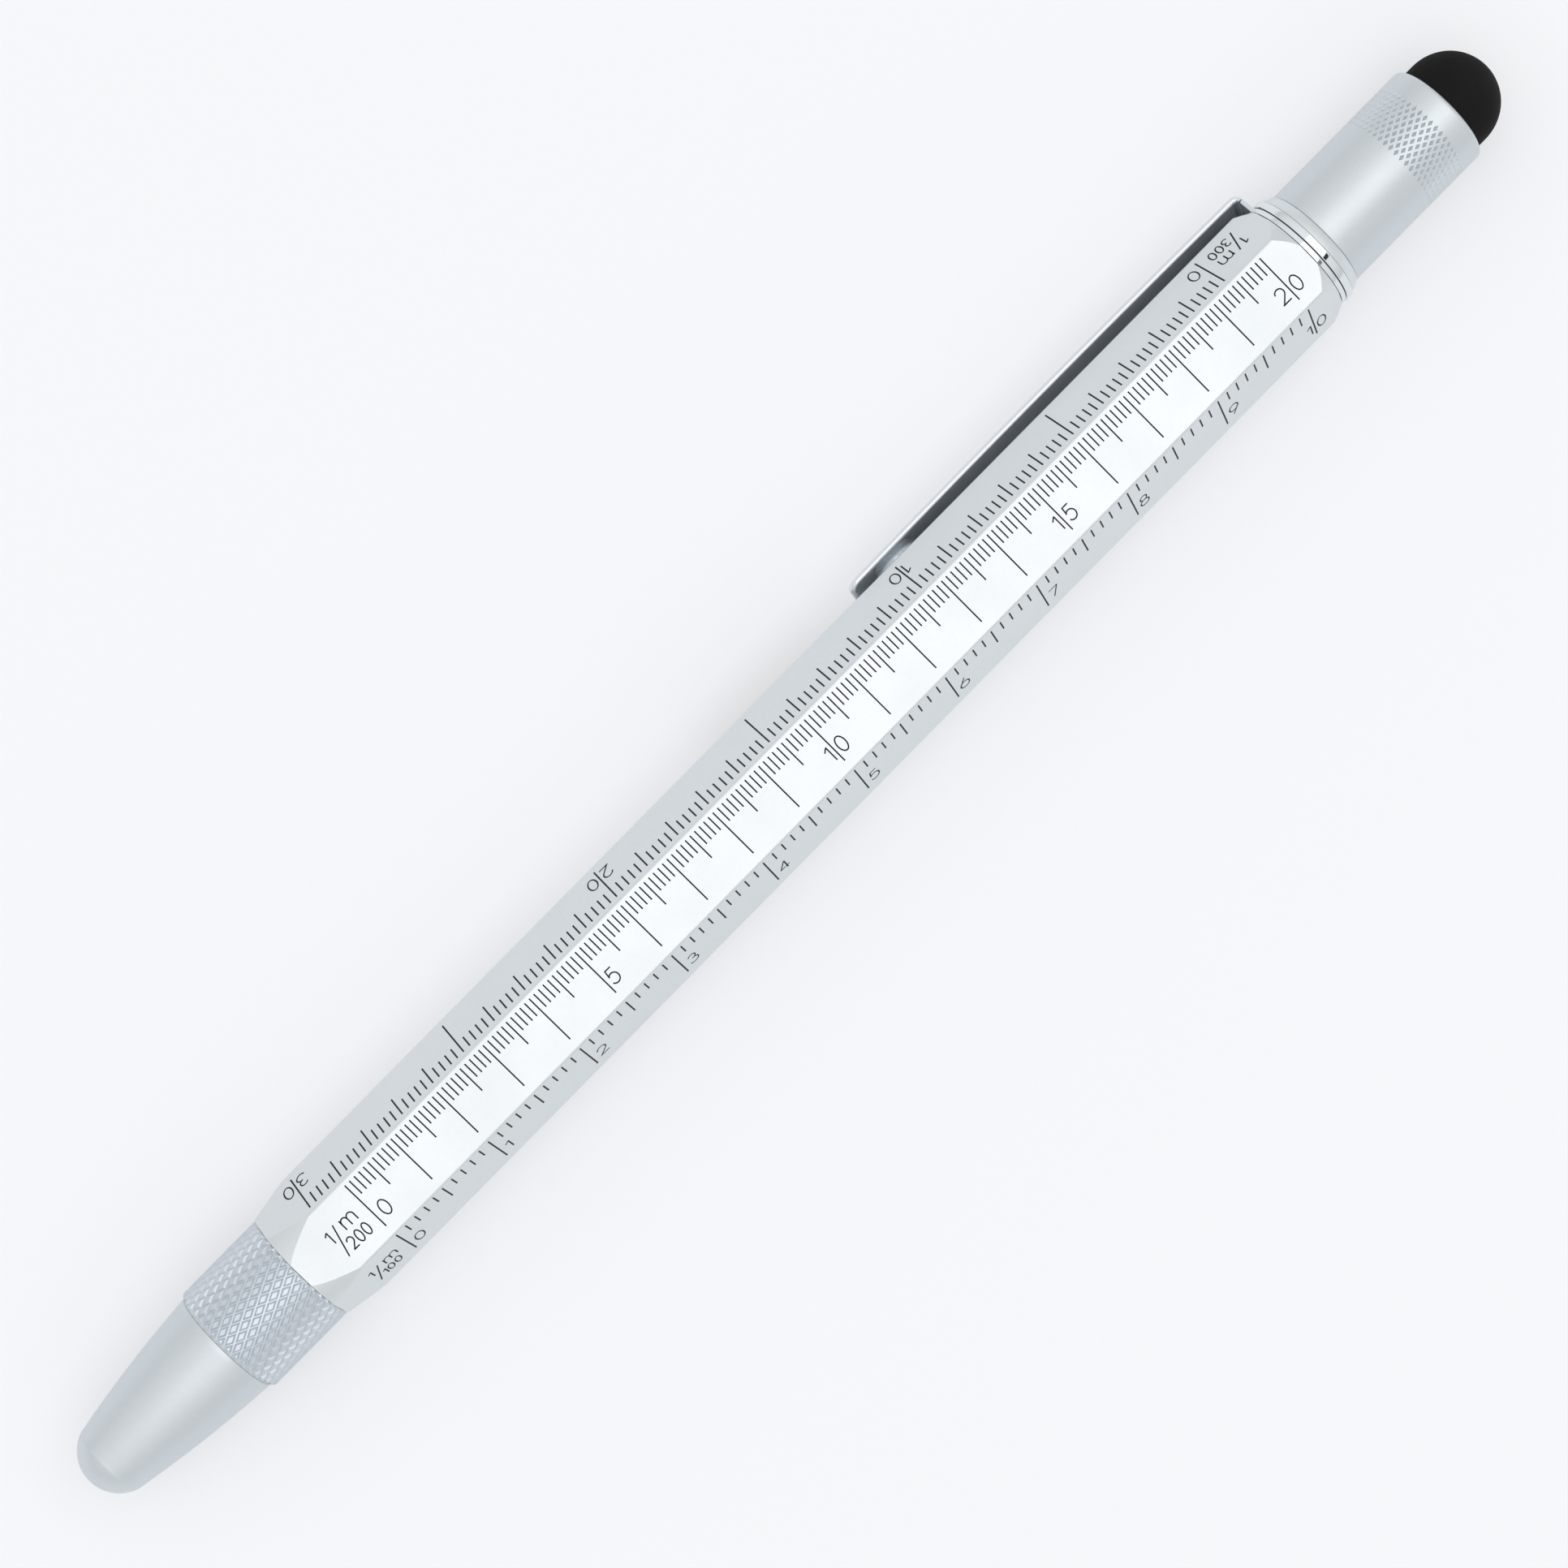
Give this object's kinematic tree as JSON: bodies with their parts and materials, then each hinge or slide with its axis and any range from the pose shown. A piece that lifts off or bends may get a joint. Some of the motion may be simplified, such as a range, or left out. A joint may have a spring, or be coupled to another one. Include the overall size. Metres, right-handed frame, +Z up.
{
  "type": "multi tool pen",
  "caption": "Hexagonal metal pen with printed reduction scales on its faces, a nib under a knurled cap, a spirit level, a pocket clip, and a screwdriver bit under a rubber-tipped stylus cap.",
  "frame": {"origin": "on the desk under the middle of the pen's bounding box", "axes": "+X along the pen from the nib end to the stylus end, +Z up from the desk, +Y across the pen towards its clip"},
  "size_m": [0.1548, 0.0128, 0.0105],
  "materials": {
    "satin_silver": "satin silver with fine printed scales",
    "cap_silver": "satin silver",
    "knurl_silver": "satin silver, knurled",
    "chrome": "polished",
    "trim_chrome": "polished",
    "black_rubber": "smooth matte",
    "steel": "polished",
    "tool_steel": "satin",
    "brass": "turned",
    "black_plastic": "moulded",
    "white_plastic": "moulded",
    "ink_plastic": "clear plastic filled with blue ink",
    "clear_tube": "clear",
    "level_green": "clear tinted liquid",
    "bubble_pale": "air bubble"
  },
  "bodies": {
    "barrel": {"barrel": "satin_silver", "front_bush": "brass", "level_carrier": "black_plastic", "level_vial": "clear_tube", "level_liquid": "level_green", "level_plug_front": "black_plastic", "level_plug_rear": "black_plastic", "rear_bush": "brass", "trim_ring": "trim_chrome", "clip_ring": "chrome", "bit_magnet": "steel"},
    "clip": {"clip_arm": "chrome"},
    "bubble": {"level_bubble": "bubble_pale"},
    "section_ring": {"section_ring": "chrome"},
    "section": {"section": "black_plastic", "nib": "steel", "feed": "black_plastic"},
    "cartridge": {"ink_cartridge": "ink_plastic", "cartridge_ball": "white_plastic"},
    "nib_cap_liner": {"nib_cap_liner": "white_plastic"},
    "nib_cap": {"nib_cap": "cap_silver", "knurled_ring": "knurl_silver"},
    "stylus_core": {"stylus_core": "white_plastic"},
    "stylus_cap": {"stylus_cap": "cap_silver", "stylus_tip": "black_rubber"},
    "bit": {"screwdriver_bit": "tool_steel"}
  },
  "joints": [
    {"name": "section_pull", "type": "slide", "parent": "barrel", "child": "section_ring", "axis": [-1, 0, 0], "range_m": [0, 0.055]},
    {"name": "section_turn", "type": "hinge", "parent": "section_ring", "child": "section", "pos_m": [-0.0545, -0.00074, 0.00525], "axis": [1, 0, 0], "continuous": true},
    {"name": "cartridge_pull", "type": "slide", "parent": "section", "child": "cartridge", "axis": [1, 0, 0], "range_m": [0, 0.006]},
    {"name": "nib_cap_pull", "type": "slide", "parent": "section", "child": "nib_cap_liner", "axis": [-1, 0, 0], "range_m": [0, 0.03]},
    {"name": "nib_cap_turn", "type": "hinge", "parent": "nib_cap_liner", "child": "nib_cap", "pos_m": [-0.066, -0.00074, 0.00525], "axis": [1, 0, 0], "continuous": true},
    {"name": "stylus_cap_pull", "type": "slide", "parent": "barrel", "child": "stylus_core", "axis": [1, 0, 0], "range_m": [0, 0.04]},
    {"name": "stylus_cap_turn", "type": "hinge", "parent": "stylus_core", "child": "stylus_cap", "pos_m": [0.066, -0.00074, 0.00525], "axis": [1, 0, 0], "continuous": true},
    {"name": "bit_pull", "type": "slide", "parent": "barrel", "child": "bit", "axis": [1, 0, 0], "range_m": [0, 0.02]},
    {"name": "clip_flex", "type": "hinge", "parent": "barrel", "child": "clip", "pos_m": [0.05635, 0.00437, 0.00296], "axis": [0, -0.4095, -0.9123], "range_deg": [0, 2.5], "stiffness_Nm_per_rad": 3},
    {"name": "bubble_slide", "type": "slide", "parent": "barrel", "child": "bubble", "axis": [1, 0, 0], "range_m": [-0.0018, 0.0018]}
  ],
  "couplings": [
    {"joint": "bit_pull", "follows": "stylus_cap_pull", "ratio": 0.5}
  ]
}
